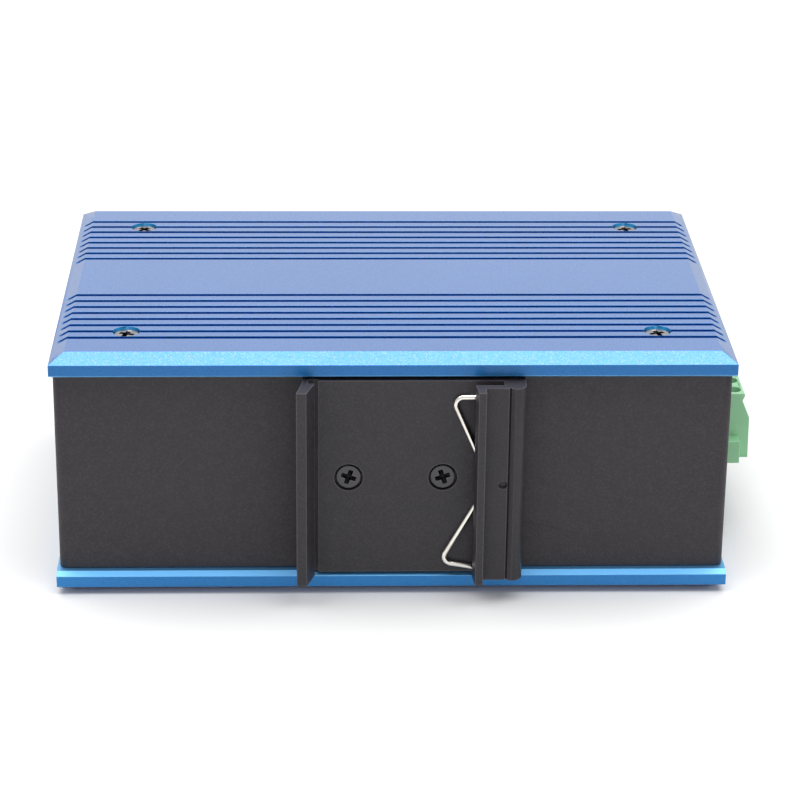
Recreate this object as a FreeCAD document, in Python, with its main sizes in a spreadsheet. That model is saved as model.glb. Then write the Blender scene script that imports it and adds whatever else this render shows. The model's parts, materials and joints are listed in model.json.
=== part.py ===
import FreeCAD, Part
import Sketcher
import math
import os
import re

# DIN rail ethernet switch, lying on one of its two finned side plates.
# +X points to the end with the power terminal (the top once it hangs on a rail), +Y to the front panel
# with the ports, +Z up through the upper side plate. The origin is the middle of the lower plate's outer
# face. Millimetres throughout.

SIZES = {
    # case
    "body_length": 135.0,
    "body_height": 51.5,
    "body_depth": 91.0,
    "plate_thick": 4.75,
    "bevel_run": 1.3,
    "bevel_rise": 0.7,
    "slope_rise": 1.75,
    "slope_run": 3.0,
    "groove_width": 1.25,
    "groove_depth": 1.2,
    "groove_pitch": 3.42,
    "groove_count": 8,
    "groove_margin": 10.5,
    "corner_screw_x": 53.0,
    "counterbore_dia": 5.5,
    "counterbore_depth": 2.2,
    "rear_inset": 2.5,
    "front_inset": 1.5,
    "end_inset": 0.5,
    "sheet_thick": 1.2,
    "bend_radius": 1.5,
    "flange_width": 5.0,
    "panel_thick": 1.5,
    # corner screws, spacers and standoffs
    "thread_dia": 3.0,
    "thread_gap": 0.02,
    "screw_clearance": 0.2,
    "corner_head_dia": 5.0,
    "corner_head_height": 1.7,
    "corner_screw_length": 8.0,
    "head_rim_share": 0.6,
    "head_top_share": 0.92,
    "cross_width": 0.9,
    "cross_length": 3.0,
    "cross_depth": 1.0,
    "hex_across": 5.5,
    "spacer_length": 9.7,
    "stud_grip": 3.0,
    # front panel screws
    "panel_thread_dia": 2.5,
    "panel_head_dia": 4.4,
    "panel_head_height": 1.2,
    "panel_screw_length": 5.0,
    "panel_screw_edge": 6.0,
    "panel_cross_share": 0.8,
    # rail clip
    "clip_end_gap": 0.25,
    "clip_base_thick": 2.5,
    "clip_height": 9.2,
    "clip_left": -18.0,
    "rail_seat": -16.9,
    "rail_slot": 1.5,
    "hook_tip": -19.2,
    "hook_tip_width": 2.0,
    "hook_lip": -15.6,
    "hook_knee": 3.0,
    "seat_relief_width": 2.0,
    "seat_relief_depth": 0.7,
    "jaw_mouth": 15.9,
    "jaw_lean": 0.4,
    "jaw_tip_width": 1.5,
    "jaw_roof": 5.0,
    "jaw_wall": 1.55,
    "channel_end": 21.5,
    "vee_width": 0.4,
    "vee_depth": 0.7,
    "bead_start": 22.8,
    "bead_crest": 7.0,
    "clip_right": 25.8,
    "bead_radius": 2.2,
    "stake_dia": 1.8,
    "stake_tip_dia": 1.0,
    "stake_depth": 0.8,
    "clip_screw_left": -8.9,
    "clip_screw_right": 9.8,
    "clip_counterbore_dia": 5.75,
    "clip_counterbore_depth": 1.3,
    "clip_head_dia": 4.9,
    "clip_head_height": 1.1,
    "clip_screw_length": 5.0,
    "nut_plate_thick": 2.5,
    "nut_plate_height": 14.0,
    "nut_plate_margin": 6.0,
    # rail spring
    "wire_dia": 1.1,
    "wire_gap": 0.05,
    "spring_reach_upper": 11.3,
    "spring_reach_lower": 9.4,
    "spring_knee": 16.6,
    "spring_knee_span": 10.8,
    "spring_leg_end": 18.5,
    "spring_upper_inset": 3.3,
    "spring_lower_inset": 2.5,
    "spring_leg_drop": 1.6,
    "spring_stake_span": 2.4,
    "spring_bend": 1.6,
    "spring_run_share": 0.45,
    # circuit board
    "board_thick": 1.6,
    "board_gap": 0.8,
    # data ports
    "port_count": 4,
    "port_width": 15.9,
    "port_height": 25.3,
    "port_depth": 25.4,
    "port_pitch": 16.1,
    "port_start": -48.6,
    "port_recess": 0.4,
    "panel_gap": 0.3,
    "shield_thick": 0.3,
    "jack_width": 11.9,
    "jack_height": 8.1,
    "jack_depth": 14.0,
    "jack_margin": 2.3,
    "latch_width": 6.4,
    "latch_height": 2.0,
    "contact_count": 8,
    "contact_width": 0.45,
    "contact_pitch": 1.02,
    "contact_thick": 0.3,
    "contact_length": 9.0,
    "contact_drop": 0.9,
    # optical cages
    "cage_count": 2,
    "cage_width": 14.25,
    "cage_height": 9.8,
    "cage_depth": 45.0,
    "cage_pitch": 14.6,
    "cage_start": 19.8,
    "socket_depth": 7.0,
    "socket_height": 5.6,
    "socket_width": 11.5,
    "mouth_width": 9.2,
    "mouth_depth": 4.9,
    "mouth_level": 2.2,
    "mouth_height": 1.7,
    # status lights
    "light_x": 57.6,
    "light_dia": 3.0,
    "light_pitch": 6.0,
    "light_first": 6.5,
    "light_count": 3,
    "light_block_width": 5.2,
    "light_block_depth": 5.5,
    "light_proud": 0.6,
    # parts on the board
    "chip_side": 19.0,
    "chip_thick": 1.7,
    "chip_x": -14.0,
    "chip_setback": 34.5,
    "pad_thick": 1.0,
    "sink_side": 24.0,
    "phy_side": 12.0,
    "phy_thick": 1.2,
    "phy_pitch": 22.0,
    "phy_count": 2,
    "phy_x": -30.0,
    "phy_setback": 26.5,
    "can_dia": 10.0,
    "can_height": 16.0,
    "can_x": 46.0,
    "can_setback": 10.5,
    "can_pitch": 11.0,
    "can_count": 2,
    "can_neck_level": 2.4,
    "can_neck_radius": 0.8,
    "can_neck_bulge": 0.4,
    "coil_side": 12.0,
    "coil_height": 7.0,
    "coil_ring_dia": 9.6,
    "coil_core_dia": 6.0,
    "coil_groove_depth": 1.4,
    "coil_x": 29.0,
    "coil_setback": 10.5,
    "former_length": 15.0,
    "former_width": 13.0,
    "former_height": 11.0,
    "core_width": 6.5,
    "winding_length": 9.0,
    "winding_height": 8.8,
    "former_x": 12.0,
    "former_setback": 10.5,
    "crystal_length": 11.0,
    "crystal_width": 4.6,
    "crystal_height": 3.4,
    "crystal_x": -8.0,
    "crystal_setback": 12.5,
    # power terminal
    "pole_count": 6,
    "pole_pitch": 5.08,
    "header_proud": 0.3,
    "header_depth": 11.8,
    "header_height": 9.0,
    "header_wall": 1.1,
    "header_back": 2.0,
    "cutout_gap": 0.35,
    "pin_side": 1.0,
    "pin_level": 4.5,
    "pin_reach": 8.0,
    "pin_tail": 1.6,
    "pin_hole_dia": 1.6,
    "plug_gap": 0.15,
    "plug_end_gap": 0.5,
    "plug_lift": 0.4,
    "plug_height": 14.5,
    "plug_top_reach": 6.9,
    "plug_neck_reach": 6.5,
    "plug_rib_reach": 8.2,
    "plug_neck_level": 12.9,
    "plug_rib_level": 9.1,
    "plug_rib_lean": 0.1,
    "plug_brow": 0.8,
    "lug_reach": 6.0,
    "lug_height": 4.9,
    "lug_length": 3.0,
    "clamp_centre": 4.8,
    "chamber_floor": 1.0,
    "clamp_width": 4.0,
    "clamp_depth": 4.2,
    "clamp_height": 7.5,
    "clamp_base": 1.2,
    "clamp_top": 1.8,
    "clamp_side": 0.6,
    "clamp_gap": 0.1,
    "clamp_travel": 1.8,
    "strip_width": 2.4,
    "strip_thick": 0.8,
    "strip_drop": 0.4,
    "grip_thick": 0.5,
    "grip_gap": 0.05,
    "ledge_thick": 0.8,
    "terminal_head_dia": 2.6,
    "terminal_head_height": 1.5,
    "terminal_bore_gap": 0.2,
    "terminal_shank_dia": 2.0,
    "terminal_thread_gap": 0.05,
    "slot_width": 0.6,
    "slot_depth": 0.7,
    "entry_width": 3.0,
    "entry_height": 3.0,
    # earth screw
    "earth_setback": 14.5,
    "earth_z": 24.0,
    "earth_dia": 4.0,
    "earth_head_dia": 7.0,
    "earth_head_height": 2.4,
    "earth_length": 7.0,
    "earth_cross_share": 1.4,
    "washer_dia": 9.0,
    "washer_thick": 0.9,
    "earth_nut_across": 7.0,
    "earth_nut_height": 3.2,
}

# Places worked out from the sizes, each a formula in the second sheet.
PLACES = {
    "half_length": "body_length / 2",
    "rear_lip": "-body_depth / 2",
    "front_lip": "body_depth / 2",
    "upper_inner": "body_height - plate_thick",
    "case_room": "upper_inner - plate_thick",
    "mid_height": "body_height / 2",
    "corner_screw_y": "front_lip - groove_margin - groove_pitch",
    "shell_rear": "rear_lip + rear_inset",
    "earth_y": "front_lip - earth_setback",
    "shell_end": "half_length - end_inset",
    "shell_inner_end": "shell_end - sheet_thick",
    "shell_inner_rear": "shell_rear + sheet_thick",
    "panel_face": "front_lip - front_inset",
    "panel_back": "panel_face - panel_thick",
    "flange_back": "panel_back - sheet_thick",
    "flange_inner": "shell_end - flange_width",
    "panel_screw_x": "(shell_inner_end + flange_inner) / 2",
    "board_bottom": "plate_thick + spacer_length",
    "board_top": "board_bottom + board_thick",
    "board_half": "shell_inner_end - board_gap",
    "board_rear": "shell_inner_rear + nut_plate_thick + board_gap",
    "board_front": "flange_back - board_gap",
    "standoff_length": "upper_inner - board_top",
    "chip_y": "board_rear + chip_setback",
    "phy_y": "board_rear + phy_setback",
    "can_y": "board_rear + can_setback",
    "coil_y": "board_rear + coil_setback",
    "former_y": "board_rear + former_setback",
    "crystal_y": "board_rear + crystal_setback",
    "clip_length": "case_room - 2 * clip_end_gap",
    "clip_bottom": "mid_height - clip_length / 2",
    "clip_seat": "shell_rear - clip_base_thick",
    "wire_level": "clip_seat - wire_dia / 2 - wire_gap",
    "spring_back": "channel_end - wire_dia / 2 - wire_gap",
    "nut_plate_left": "clip_screw_left - nut_plate_margin",
    "nut_plate_right": "clip_screw_right + nut_plate_margin",
    "port_face": "panel_face - port_recess",
    "header_front": "shell_end + header_proud",
    "header_rear": "header_front - header_depth",
    "cavity_rear": "header_rear + header_back",
    "poles_half": "pole_count * pole_pitch / 2",
    "header_half": "poles_half + header_wall",
    "header_top": "board_top + header_height",
    "pin_z": "board_top + pin_level",
    "plug_bottom": "board_top + plug_lift",
    "plug_top": "plug_bottom + plug_height",
    "nose_rear": "cavity_rear + plug_end_gap",
    "clamp_x": "header_front + clamp_centre",
    "chamber_z": "plug_bottom + chamber_floor",
    "clamp_left": "clamp_x - clamp_depth / 2",
    "chamber_top": "chamber_z + clamp_height + clamp_travel + clamp_gap",
    "ledge_top": "chamber_top + ledge_thick",
    "window_top": "chamber_z + clamp_height - clamp_top",
    "strip_top": "window_top - strip_drop",
    "strip_bottom": "strip_top - strip_thick",
    "chip_bottom": "board_bottom - chip_thick",
    "sink_top": "chip_bottom - pad_thick",
}

doc = FreeCAD.newDocument("din_rail_ethernet_switch")


def write_sheet(name, cells):
    """A sheet with one named cell a row: the name in column A, its value or formula in column B."""
    sheet = doc.addObject("Spreadsheet::Sheet", name)
    for row, (alias, content) in enumerate(cells.items(), start=1):
        sheet.set(f"A{row}", alias)
        sheet.setAlias(f"B{row}", alias)
        sheet.set(f"B{row}", str(content))
    return sheet


def linked(formula):
    """The formula with each size and place named together with its sheet."""
    def with_sheet(match):
        word = match.group(0)
        if word in SIZES:
            return "Sizes." + word
        if word in PLACES:
            return "Places." + word
        return word
    return re.sub(r"(?<![\w.])[A-Za-z_]\w*", with_sheet, str(formula))


sizes = write_sheet("Sizes", SIZES)
doc.recompute()
places = write_sheet("Places", {alias: "=" + linked(formula) for alias, formula in PLACES.items()})
doc.recompute()


def number(formula):
    """What a formula comes to now."""
    return float(places.evalExpression(linked(formula)))


def bind(thing, **formulas):
    """Bind properties of a feature to formulas of the sheets."""
    for name, formula in formulas.items():
        thing.setExpression(name, linked(formula))
    return thing


# ---------------------------------------------------------------- building blocks

TURNS = {
    "+z": FreeCAD.Rotation(),
    "-z": FreeCAD.Rotation(FreeCAD.Vector(1, 0, 0), 180),
    "+y": FreeCAD.Rotation(FreeCAD.Vector(1, 0, 0), -90),
    "-y": FreeCAD.Rotation(FreeCAD.Vector(1, 0, 0), 90),
    "+x": FreeCAD.Rotation(FreeCAD.Vector(0, 1, 0), 90),
    "-x": FreeCAD.Rotation(FreeCAD.Vector(0, 1, 0), -90),
}


def stand(thing, at, facing="+z", shift=(0, 0, 0), spin=0):
    """Put a feature at a point with its own Z axis facing one way, shifted along its own three axes.

    Its spin in degrees is about its own Z axis.
    """
    turn = TURNS[facing]
    spun = turn.multiply(FreeCAD.Rotation(FreeCAD.Vector(0, 0, 1), spin))
    thing.Placement = FreeCAD.Placement(FreeCAD.Vector(), spun)
    own_axes = [turn.multVec(FreeCAD.Vector(*unit)) for unit in ((1, 0, 0), (0, 1, 0), (0, 0, 1))]
    for world, letter in enumerate("xyz"):
        formula = f"({at[world]})"
        for own, amount in enumerate(shift):
            sign = round(own_axes[own][world])
            if sign:
                formula += f" {'+' if sign > 0 else '-'} ({amount})"
        bind(thing, **{f"Placement.Base.{letter}": formula})
    return thing


def box(name, low, high):
    """A block from its low corner to its high corner."""
    block = doc.addObject("Part::Box", name)
    for axis, side in enumerate(("Length", "Width", "Height")):
        bind(block, **{side: f"({high[axis]}) - ({low[axis]})"})
    return stand(block, low)


def slab(name, at, facing, wide, deep, start, end):
    """A block centred on an axis through a point: wide and deep across it, from start to end along it."""
    block = doc.addObject("Part::Box", name)
    bind(block, Length=wide, Width=deep, Height=f"({end}) - ({start})")
    return stand(block, at, facing, (f"-({wide}) / 2", f"-({deep}) / 2", start))


def rod(name, at, facing, diameter, start, end):
    """A cylinder on an axis through a point, from start to end along it."""
    cylinder = doc.addObject("Part::Cylinder", name)
    bind(cylinder, Radius=f"({diameter}) / 2", Height=f"({end}) - ({start})")
    return stand(cylinder, at, facing, (0, 0, start))


def taper(name, at, facing, near_dia, far_dia, start, end):
    """A cone frustum on an axis through a point."""
    cone = doc.addObject("Part::Cone", name)
    bind(cone, Radius1=f"({near_dia}) / 2", Radius2=f"({far_dia}) / 2", Height=f"({end}) - ({start})")
    return stand(cone, at, facing, (0, 0, start))


def hexagon(name, at, across, start, end):
    """An upright six-sided bar, given across its flats."""
    prism = doc.addObject("Part::Prism", name)
    prism.Polygon = 6
    bind(prism, Circumradius=f"({across}) / sqrt(3)", Height=f"({end}) - ({start})")
    return stand(prism, at, "+z", (0, 0, start))


def joined(name, pieces):
    """Several solids made one."""
    fusion = doc.addObject("Part::MultiFuse", name)
    fusion.Shapes = pieces
    fusion.Refine = True
    return fusion


def cut(name, base, tools):
    """A solid less one or more others."""
    hollow = doc.addObject("Part::Cut", name)
    hollow.Base = base
    hollow.Tool = tools[0] if len(tools) == 1 else joined(name + "_cutters", tools)
    hollow.Refine = True
    return hollow


def group(name, members):
    """Like pieces that stay separate solids in one node."""
    compound = doc.addObject("Part::Compound", name)
    compound.Links = members
    return compound


def origin_plane(body, role):
    """One of a body's own origin planes."""
    return next(feature for feature in body.Origin.OriginFeatures if feature.Role == role)


def attach(sketch, body, role, offset="0"):
    """Put a sketch on an origin plane of its body, moved along the plane's normal."""
    sketch.AttachmentSupport = [(origin_plane(body, role), "")]
    sketch.MapMode = "FlatFace"
    bind(sketch, **{"AttachmentOffset.Base.z": offset})


def outline(body, name, role, corners, offset="0"):
    """A closed sketch through corners, each (across, up) or (across, up, arc centre across, arc centre up).

    The longer form arrives at its corner along an arc that turns left about that centre. Corners and arc
    centres are bound to the sheets.
    """
    sketch = body.newObject("Sketcher::SketchObject", name)
    attach(sketch, body, role, offset)
    add_loop(sketch, corners)
    return sketch


def add_loop(sketch, corners):
    """Add one closed loop to a sketch, in the form that outline describes."""
    first = sketch.GeometryCount
    spots = [FreeCAD.Vector(number(corner[0]), number(corner[1]), 0) for corner in corners]
    count = len(corners)
    for index in range(count):
        here = spots[index]
        following = corners[(index + 1) % count]
        there = spots[(index + 1) % count]
        if len(following) == 2:
            sketch.addGeometry(Part.LineSegment(here, there))
        else:
            centre = FreeCAD.Vector(number(following[2]), number(following[3]), 0)
            arc = Part.Circle(centre, FreeCAD.Vector(0, 0, 1), (here - centre).Length)
            sketch.addGeometry(Part.ArcOfCircle(arc, arc.parameter(here), arc.parameter(there)))
    for index in range(count):
        following = first + (index + 1) % count
        sketch.addConstraint(Sketcher.Constraint("Coincident", first + index, 2, following, 1))
    for index, corner in enumerate(corners):
        pin_point(sketch, first + index, 1, corner[0], corner[1])
        if len(corner) == 4:
            arc_index = first + (index - 1) % count
            pin_point(sketch, arc_index, 3, corner[2], None)


def pin_point(sketch, geometry, point, across, up):
    """Bind the distances of a sketch point from the origin."""
    for kind, formula in (("DistanceX", across), ("DistanceY", up)):
        if formula is not None:
            constraint = Sketcher.Constraint(kind, -1, 1, geometry, point, number(formula))
            index = sketch.addConstraint(constraint)
            sketch.setExpression(f"Constraints[{index}]", linked(formula))


def rectangle(low, high):
    """The four corners of a rectangle."""
    return [(low[0], low[1]), (high[0], low[1]), (high[0], high[1]), (low[0], high[1])]


def circles(body, name, role, centres, diameter, offset="0"):
    """A sketch of equal circles."""
    sketch = body.newObject("Sketcher::SketchObject", name)
    attach(sketch, body, role, offset)
    for across, up in centres:
        middle = FreeCAD.Vector(number(across), number(up), 0)
        circle = Part.Circle(middle, FreeCAD.Vector(0, 0, 1), number(diameter) / 2)
        index = sketch.addGeometry(circle)
        pin_point(sketch, index, 3, across, up)
        constraint = sketch.addConstraint(Sketcher.Constraint("Diameter", index, number(diameter)))
        sketch.setExpression(f"Constraints[{constraint}]", linked(diameter))
    return sketch


def pad(body, sketch, length, backwards=False, both_sides=False):
    """Raise a sketch into the body."""
    feature = body.newObject("PartDesign::Pad", sketch.Name + "_pad")
    feature.Profile = sketch
    feature.Reversed = backwards
    feature.Midplane = both_sides
    bind(feature, Length=length)
    return feature


def pocket(body, sketch, depth, backwards=False):
    """Sink a sketch into the body, against its plane's normal unless backwards."""
    feature = body.newObject("PartDesign::Pocket", sketch.Name + "_pocket")
    feature.Profile = sketch
    feature.Reversed = backwards
    bind(feature, Length=depth)
    return feature


def row(body, feature, axis_role, length, count):
    """Repeat a feature along one of the body's axes."""
    pattern = body.newObject("PartDesign::LinearPattern", feature.Name + "_row")
    pattern.Originals = [feature]
    pattern.Direction = (origin_plane(body, axis_role), [""])
    bind(pattern, Length=length, Occurrences=count)
    body.Tip = pattern
    return pattern


def cross_recess(name, at, facing, top, spin, share="1"):
    """Two crossed blocks, scaled by a share and spun, that cut a cross recess into a screw head's top."""
    width = f"cross_width * {share}"
    length = f"cross_length * {share}"
    depth = f"cross_depth * {share}"
    middle = ("0", "0", "0")
    recess = joined(name + "_recess", [
        slab(name + "_along", middle, "+z", length, width, f"-({depth})", "0"),
        slab(name + "_across", middle, "+z", width, length, f"-({depth})", "0"),
    ])
    return stand(recess, at, facing, (0, 0, top), spin)


def machine_screw(name, at, facing, head_dia, head_height, thread_dia, length, spin):
    """A cross-recess screw: its head stands from the seat towards facing, its thread runs the other way."""
    rim = f"({head_height}) * head_rim_share"
    head = joined(name + "_head", [
        rod(name + "_head_side", at, facing, head_dia, "0", rim),
        taper(name + "_head_top", at, facing, head_dia, f"({head_dia}) * head_top_share", rim, head_height),
    ])
    thread = rod(name + "_thread", at, facing, thread_dia, f"-({length})", "0")
    blank = joined(name + "_blank", [head, thread])
    return cut(name, blank, [cross_recess(name, at, facing, head_height, spin)])


# ---------------------------------------------------------------- case


def side_plate(name, facing, level):
    """A finned aluminium side plate: mitred slopes, bevelled long edges, cooling grooves, screw wells."""
    body = doc.addObject("PartDesign::Body", name)
    corners = rectangle(("-half_length", "rear_lip"), ("half_length", "front_lip"))
    lip = pad(body, outline(body, name + "_rim", "XY_Plane", corners), "plate_thick - slope_rise")
    lip.Refine = True
    crown = outline(body, name + "_crown", "XY_Plane", corners, "plate_thick - slope_rise")
    slope = pad(body, crown, "slope_rise")
    bind(slope, TaperAngle="-atan(slope_run / slope_rise)")
    bevels = body.newObject("Sketcher::SketchObject", name + "_bevels")
    attach(bevels, body, "YZ_Plane", "half_length")
    for edge, inward in (("rear_lip", "+"), ("front_lip", "-")):
        add_loop(bevels, [(edge, "0"), (f"{edge} {inward} bevel_run", "0"), (edge, "bevel_rise")])
    pocket(body, bevels, "body_length")
    rear_first = "rear_lip + groove_margin"
    front_first = "front_lip - groove_margin - (groove_count - 1) * groove_pitch"
    grooves = body.newObject("Sketcher::SketchObject", name + "_grooves")
    attach(grooves, body, "XY_Plane", "plate_thick")
    for middle in (rear_first, front_first):
        low = ("-half_length", f"{middle} - groove_width / 2")
        high = ("half_length", f"{middle} + groove_width / 2")
        add_loop(grooves, rectangle(low, high))
    groove = pocket(body, grooves, "groove_depth")
    row(body, groove, "Y_Axis", "(groove_count - 1) * groove_pitch", "groove_count")
    spots = [(f"{side}corner_screw_x", f"{end}corner_screw_y") for side in ("", "-") for end in ("", "-")]
    wells = circles(body, name + "_wells", "XY_Plane", spots, "counterbore_dia", "plate_thick")
    pocket(body, wells, "counterbore_depth")
    clear_dia = "thread_dia + 2 * screw_clearance"
    holes = circles(body, name + "_holes", "XY_Plane", spots, clear_dia, "plate_thick")
    pocket(body, holes, "plate_thick")
    stand(body, ("0", "0", level), facing)
    return body


CORNERS = [
    ("left_rear", "-corner_screw_x", "-corner_screw_y"),
    ("right_rear", "corner_screw_x", "-corner_screw_y"),
    ("left_front", "-corner_screw_x", "corner_screw_y"),
    ("right_front", "corner_screw_x", "corner_screw_y"),
]

# How far each screw of a set happens to be turned when tight, in degrees.
SPINS = [70, 20, 47, 12]


def corner_screws(name, facing, seat):
    """The four screws of one side plate, each seated in its counterbore."""
    screws = []
    for (corner, x, y), spin in zip(CORNERS, SPINS):
        screws.append(machine_screw(
            f"{name}_{corner}", (x, y, seat), facing,
            "corner_head_dia", "corner_head_height", "thread_dia", "corner_screw_length", spin,
        ))
    return group(name, screws)


def lower_spacers():
    """Four tapped hexagonal spacers between the lower plate and the board."""
    spacers = []
    for corner, x, y in CORNERS:
        spot = (x, y, "plate_thick")
        bar = hexagon(f"spacer_{corner}_bar", spot, "hex_across", "0", "spacer_length")
        tap_dia = "thread_dia + 2 * thread_gap"
        tapping = rod(f"spacer_{corner}_tap", spot, "+z", tap_dia, "0", "spacer_length")
        spacers.append(cut(f"spacer_{corner}", bar, [tapping]))
    return group("lower_spacers", spacers)


def upper_standoffs():
    """Four hexagonal standoffs from the board to the upper plate, each with a stud through the board."""
    tap_depth = "corner_screw_length + board_gap - (plate_thick - counterbore_depth)"
    standoffs = []
    for corner, x, y in CORNERS:
        spot = (x, y, "board_top")
        bar = hexagon(f"standoff_{corner}_bar", spot, "hex_across", "0", "standoff_length")
        stud = rod(f"standoff_{corner}_stud", spot, "+z", "thread_dia", "-board_thick - stud_grip", "0")
        solid = joined(f"standoff_{corner}_solid", [bar, stud])
        tapping = rod(
            f"standoff_{corner}_tap", spot, "+z", "thread_dia + 2 * thread_gap",
            f"standoff_length - ({tap_depth})", "standoff_length",
        )
        standoffs.append(cut(f"standoff_{corner}", solid, [tapping]))
    return group("upper_standoffs", standoffs)


def rear_shell():
    """Folded sheet: the rear wall, both ends and the narrow flanges that carry the front panel."""
    body = doc.addObject("PartDesign::Body", "rear_shell_blank")
    bend_x = "shell_end - bend_radius"
    bend_y = "shell_rear + bend_radius"
    fold = "bend_radius - sheet_thick"
    corners = [
        (f"-({bend_x})", "shell_rear", f"-({bend_x})", bend_y),
        (bend_x, "shell_rear"),
        ("shell_end", bend_y, bend_x, bend_y),
        ("shell_end", "panel_back"),
        ("flange_inner", "panel_back"),
        ("flange_inner", "flange_back"),
        ("shell_inner_end", "flange_back"),
        ("shell_inner_end", f"shell_inner_rear + {fold}"),
        (f"shell_inner_end - ({fold})", "shell_inner_rear"),
        (f"-(shell_inner_end - ({fold}))", "shell_inner_rear"),
        ("-shell_inner_end", f"shell_inner_rear + {fold}"),
        ("-shell_inner_end", "flange_back"),
        ("-flange_inner", "flange_back"),
        ("-flange_inner", "panel_back"),
        ("-shell_end", "panel_back"),
        ("-shell_end", bend_y),
    ]
    section = outline(body, "rear_shell_section", "XY_Plane", corners, "plate_thick")
    pad(body, section, "case_room")
    clip_holes = [
        rod(f"clip_hole_{side}", (f"clip_screw_{side}", "shell_rear", "mid_height"), "+y",
            "thread_dia + 2 * screw_clearance", "0", "sheet_thick")
        for side in ("left", "right")
    ]
    panel_holes = [
        rod(f"flange_hole_{index}", (x, "flange_back", z), "+y", "panel_thread_dia + 2 * thread_gap",
            "0", "sheet_thick")
        for index, (x, z) in enumerate(PANEL_SCREWS)
    ]
    window = box(
        "terminal_window",
        ("shell_inner_end", "-header_half - cutout_gap", "board_top - cutout_gap"),
        ("shell_end", "header_half + cutout_gap", "header_top + cutout_gap"),
    )
    earth_hole = rod("earth_hole", ("shell_inner_end", "earth_y", "earth_z"), "+x",
                     "earth_dia + 2 * screw_clearance", "0", "sheet_thick")
    return cut("rear_shell", body, clip_holes + panel_holes + [window, earth_hole])


PANEL_SCREWS = [
    (x, z)
    for x in ("-panel_screw_x", "panel_screw_x")
    for z in ("plate_thick + panel_screw_edge", "upper_inner - panel_screw_edge")
]


def port_left(index):
    return f"port_start + {index} * port_pitch"


def cage_left(index):
    return f"cage_start + {index} * cage_pitch"


def light_level(index):
    return f"board_top + light_first + {index} * light_pitch"


def front_panel():
    """The flat front panel with windows for the ports, cages and status lights."""
    body = doc.addObject("PartDesign::Body", "front_panel_blank")
    face = rectangle(("-shell_end", "plate_thick"), ("shell_end", "upper_inner"))
    pad(body, outline(body, "front_panel_face", "XZ_Plane", face, "-panel_face"), "panel_thick")
    port_end = port_left("(port_count - 1)") + " + port_width"
    cage_end = cage_left("(cage_count - 1)") + " + cage_width"
    windows = [
        box(
            "port_window",
            ("port_start - panel_gap", "panel_back", "board_top - panel_gap"),
            (f"{port_end} + panel_gap", "panel_face", "board_top + port_height + panel_gap"),
        ),
        box(
            "cage_window",
            ("cage_start - panel_gap", "panel_back", "board_top - panel_gap"),
            (f"{cage_end} + panel_gap", "panel_face", "board_top + cage_height + panel_gap"),
        ),
    ]
    for index in range(int(SIZES["light_count"])):
        windows.append(rod(
            f"light_window_{index + 1}", ("light_x", "panel_back", light_level(index)), "+y",
            "light_dia + 2 * screw_clearance", "0", "panel_thick",
        ))
    for index, (x, z) in enumerate(PANEL_SCREWS):
        spot = (x, "panel_face", z)
        windows.append(rod(f"panel_hole_{index}", spot, "+y", "panel_thread_dia + 2 * screw_clearance",
                           "-panel_thick", "0"))
        windows.append(taper(f"panel_sink_{index}", spot, "+y", "panel_thread_dia", "panel_head_dia",
                             "-panel_head_height", "0"))
    return cut("front_panel", body, windows)


def front_panel_screws():
    """Countersunk screws flush with the front panel, threaded into the shell's flanges."""
    screws = []
    for index, (x, z) in enumerate(PANEL_SCREWS):
        name = f"panel_screw_{index}"
        spot = (x, "panel_face", z)
        head = taper(name + "_head", spot, "+y", "panel_thread_dia", "panel_head_dia",
                     "-panel_head_height", "0")
        thread = rod(name + "_thread", spot, "+y", "panel_thread_dia",
                     "-panel_screw_length", "-panel_head_height")
        recess = cross_recess(name, spot, "+y", "0", SPINS[index], "panel_cross_share")
        screws.append(cut(name, joined(name + "_blank", [head, thread]), [recess]))
    return group("front_panel_screws", screws)


# ---------------------------------------------------------------- rail clip


def out(height):
    """Y of a height above the shell's rear wall, measured outwards."""
    return f"shell_rear - ({height})"


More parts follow.
